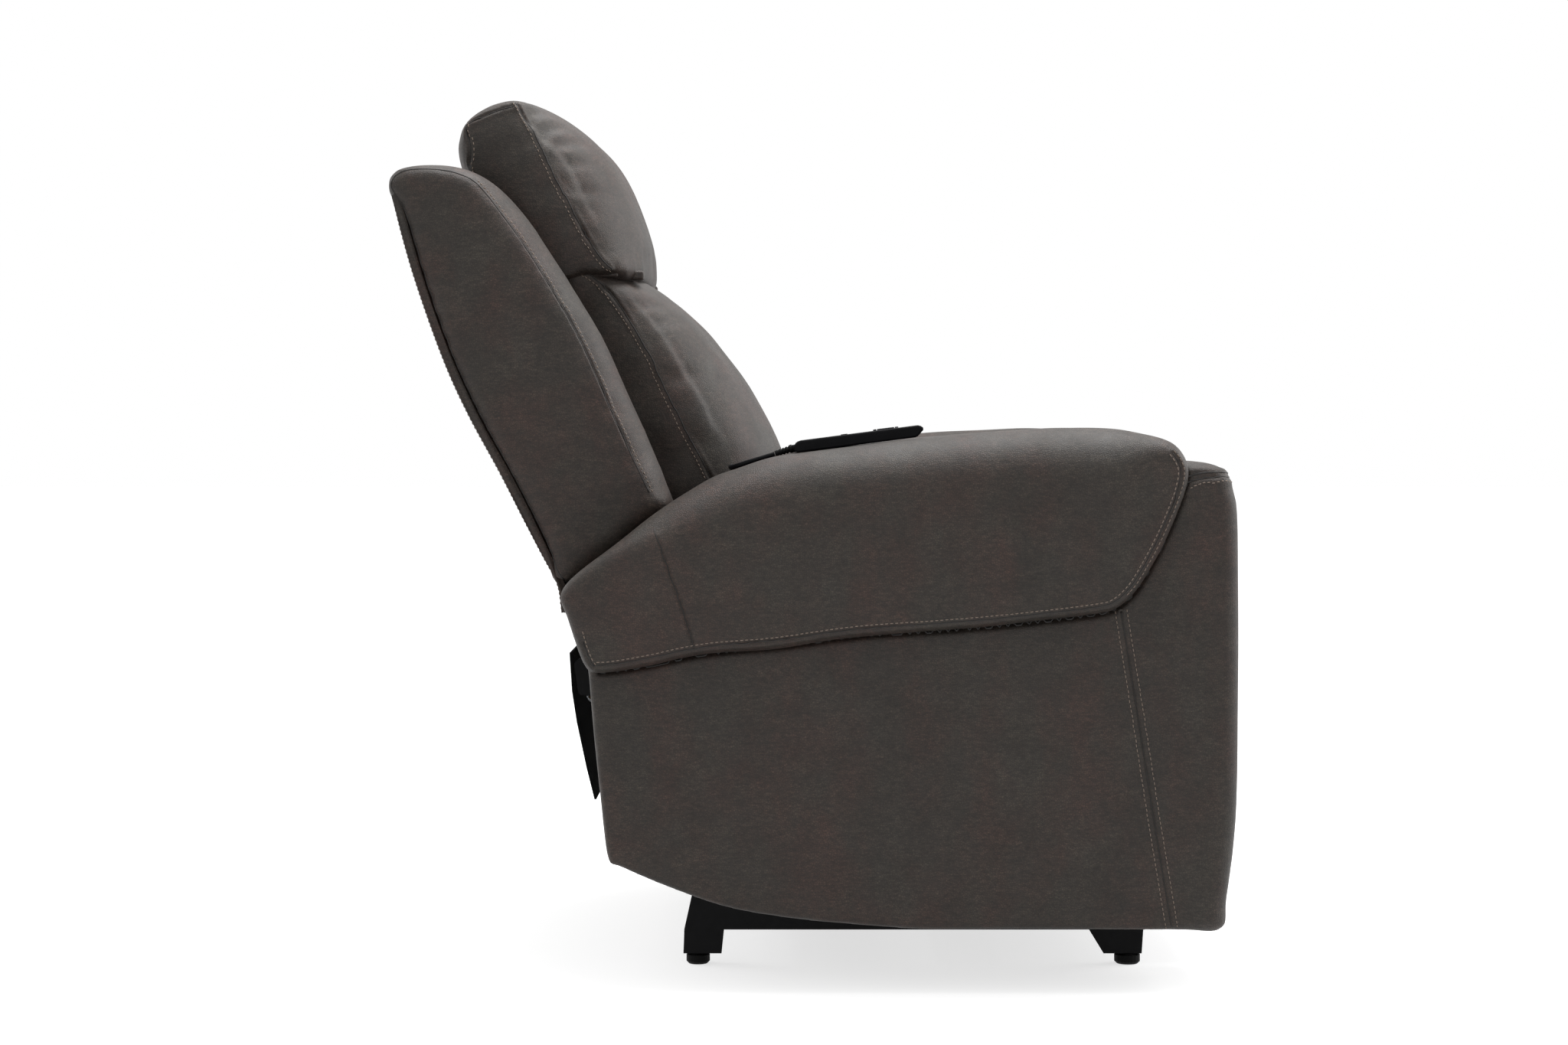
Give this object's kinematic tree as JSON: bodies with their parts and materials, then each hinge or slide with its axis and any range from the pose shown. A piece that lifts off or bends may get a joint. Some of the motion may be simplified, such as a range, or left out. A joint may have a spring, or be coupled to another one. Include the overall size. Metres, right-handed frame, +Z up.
{
  "type": "power recliner armchair",
  "caption": "Wing-back leather recliner on a hidden steel glide: the back leans, the seat glides forward, the headrest tilts and a linked footrest folds out, worked from a wired handset.",
  "frame": {"origin": "centre of the bounding box's base, on the floor", "axes": "+Z up, -Y the way the sitter looks, +X the sitter's left"},
  "size_m": [1, 1.0129, 1.08],
  "materials": {
    "leather": "fine-grained brown leather",
    "leather_dark": "fine-grained brown leather, rear panel",
    "black_steel": "satin black powder coat",
    "bright_steel": "plain ground rod",
    "black_plastic": "fine texture",
    "key_plastic": "smooth",
    "rubber": "matt",
    "wood": "plywood and sawn softwood",
    "black_cloth": "non-woven and elastic webbing"
  },
  "bodies": {
    "base": {"base_frame": "black_steel", "leg_front_left": "black_steel", "leg_front_right": "black_steel", "leg_rear_left": "black_steel", "leg_rear_right": "black_steel", "glide_front_left": "rubber", "glide_front_right": "rubber", "glide_rear_left": "rubber", "glide_rear_right": "rubber", "power_inlet": "black_plastic"},
    "rear_swing": {"swing_link_rear_left": "black_steel", "swing_link_rear_right": "black_steel"},
    "front_swing": {"swing_link_front_left": "black_steel", "swing_link_front_right": "black_steel"},
    "seat": {"seat_chassis": "black_steel", "seat_box": "wood", "seat_webbing": "black_cloth", "seat_cushion": "leather", "arm_box_left": "leather", "arm_box_right": "leather", "arm_pad_left": "leather", "arm_pad_right": "leather", "footrest_motor": "black_plastic", "control_box": "black_plastic", "rear_dust_cover": "black_cloth", "handset_case": "black_plastic", "handset_relief": "rubber", "handset_cord": "rubber", "cord_plug": "black_plastic"},
    "back": {"back_frame": "wood", "back_panel": "leather_dark", "wing_left": "leather", "wing_right": "leather", "back_bracket_left": "black_steel", "back_bracket_right": "black_steel", "lumbar_cushion": "leather"},
    "head": {"headrest_frame": "black_steel", "head_cushion": "leather"},
    "recline_motor": {"recline_motor": "black_plastic"},
    "recline_rod": {"recline_rod": "bright_steel"},
    "drive": {"drive_frame": "black_steel"},
    "lift_links": {"lift_link_left": "black_steel", "lift_link_right": "black_steel"},
    "cross_links": {"cross_link_left": "black_steel", "cross_link_right": "black_steel"},
    "guide_links": {"guide_link_left": "black_steel", "guide_link_right": "black_steel"},
    "footrest": {"footrest_bracket_left": "black_steel", "footrest_bracket_right": "black_steel", "footrest_board": "wood", "footrest_pad": "leather"},
    "key_recline": {"key_recline": "key_plastic"},
    "key_upright": {"key_upright": "key_plastic"},
    "key_head_up": {"key_head_up": "key_plastic"},
    "key_head_down": {"key_head_down": "key_plastic"},
    "key_home": {"key_home": "key_plastic"}
  },
  "joints": [
    {"name": "recline", "type": "hinge", "parent": "base", "child": "rear_swing", "pos_m": [0, 0.071, 0.105], "axis": [1, 0, 0], "range_deg": [0, 60]},
    {"name": "front_glide", "type": "hinge", "parent": "base", "child": "front_swing", "pos_m": [0, -0.299, 0.105], "axis": [1, 0, 0], "range_deg": [0, 60]},
    {"name": "seat_level", "type": "hinge", "parent": "rear_swing", "child": "seat", "pos_m": [0, 0.126, 0.2], "axis": [1, 0, 0], "range_deg": [-60, 0]},
    {"name": "back_recline", "type": "hinge", "parent": "seat", "child": "back", "pos_m": [0, 0.231, 0.37], "axis": [-1, 0, 0], "range_deg": [0, 35]},
    {"name": "recline_motor_swivel", "type": "hinge", "parent": "seat", "child": "recline_motor", "pos_m": [0, 0.011, 0.335], "axis": [-1, 0, 0], "range_deg": [0, 5]},
    {"name": "recline_rod_slide", "type": "slide", "parent": "recline_motor", "child": "recline_rod", "axis": [0, 0.9975, -0.0701], "range_m": [-0.0359, 0]},
    {"name": "headrest_tilt", "type": "hinge", "parent": "back", "child": "head", "pos_m": [0, 0.213, 0.852], "axis": [1, 0, 0], "range_deg": [0, 35]},
    {"name": "footrest", "type": "hinge", "parent": "seat", "child": "lift_links", "pos_m": [0, -0.335, 0.348], "axis": [-1, 0, 0], "range_deg": [0, 90]},
    {"name": "drive_turn", "type": "hinge", "parent": "seat", "child": "drive", "pos_m": [0, -0.29863, 0.327], "axis": [-1, 0, 0], "range_deg": [0, 90]},
    {"name": "cross_turn", "type": "hinge", "parent": "lift_links", "child": "cross_links", "pos_m": [0, -0.25446, 0.14866], "axis": [-1, 0, 0], "range_deg": [-90, 0]},
    {"name": "guide_turn", "type": "hinge", "parent": "lift_links", "child": "guide_links", "pos_m": [0, -0.22899, 0.08561], "axis": [-1, 0, 0], "range_deg": [-90, 0]},
    {"name": "footrest_turn", "type": "hinge", "parent": "cross_links", "child": "footrest", "pos_m": [0, -0.419, 0.24366], "axis": [-1, 0, 0], "range_deg": [0, 90]},
    {"name": "press_recline", "type": "slide", "parent": "seat", "child": "key_recline", "axis": [0, 0.1288, 0.9917], "range_m": [-0.0007, 0], "stiffness_N_per_m": 900, "springref_m": 0.0006},
    {"name": "press_upright", "type": "slide", "parent": "seat", "child": "key_upright", "axis": [0, 0.1288, 0.9917], "range_m": [-0.0007, 0], "stiffness_N_per_m": 900, "springref_m": 0.0006},
    {"name": "press_head_up", "type": "slide", "parent": "seat", "child": "key_head_up", "axis": [0, 0.1288, 0.9917], "range_m": [-0.0007, 0], "stiffness_N_per_m": 900, "springref_m": 0.0006},
    {"name": "press_head_down", "type": "slide", "parent": "seat", "child": "key_head_down", "axis": [0, 0.1288, 0.9917], "range_m": [-0.0007, 0], "stiffness_N_per_m": 900, "springref_m": 0.0006},
    {"name": "press_home", "type": "slide", "parent": "seat", "child": "key_home", "axis": [0, 0.1288, 0.9917], "range_m": [-0.0007, 0], "stiffness_N_per_m": 900, "springref_m": 0.0006}
  ],
  "couplings": [
    {"joint": "front_glide", "follows": "recline", "ratio": 1},
    {"joint": "seat_level", "follows": "recline", "ratio": -1},
    {"joint": "back_recline", "follows": "recline", "ratio": 0.58333},
    {"joint": "recline_motor_swivel", "follows": "recline", "ratio": 0.083333},
    {"joint": "recline_rod_slide", "follows": "recline", "m_per_rad": -0.034282},
    {"joint": "drive_turn", "follows": "footrest", "ratio": 1},
    {"joint": "cross_turn", "follows": "footrest", "ratio": -1},
    {"joint": "guide_turn", "follows": "footrest", "ratio": -1},
    {"joint": "footrest_turn", "follows": "footrest", "ratio": 1}
  ]
}
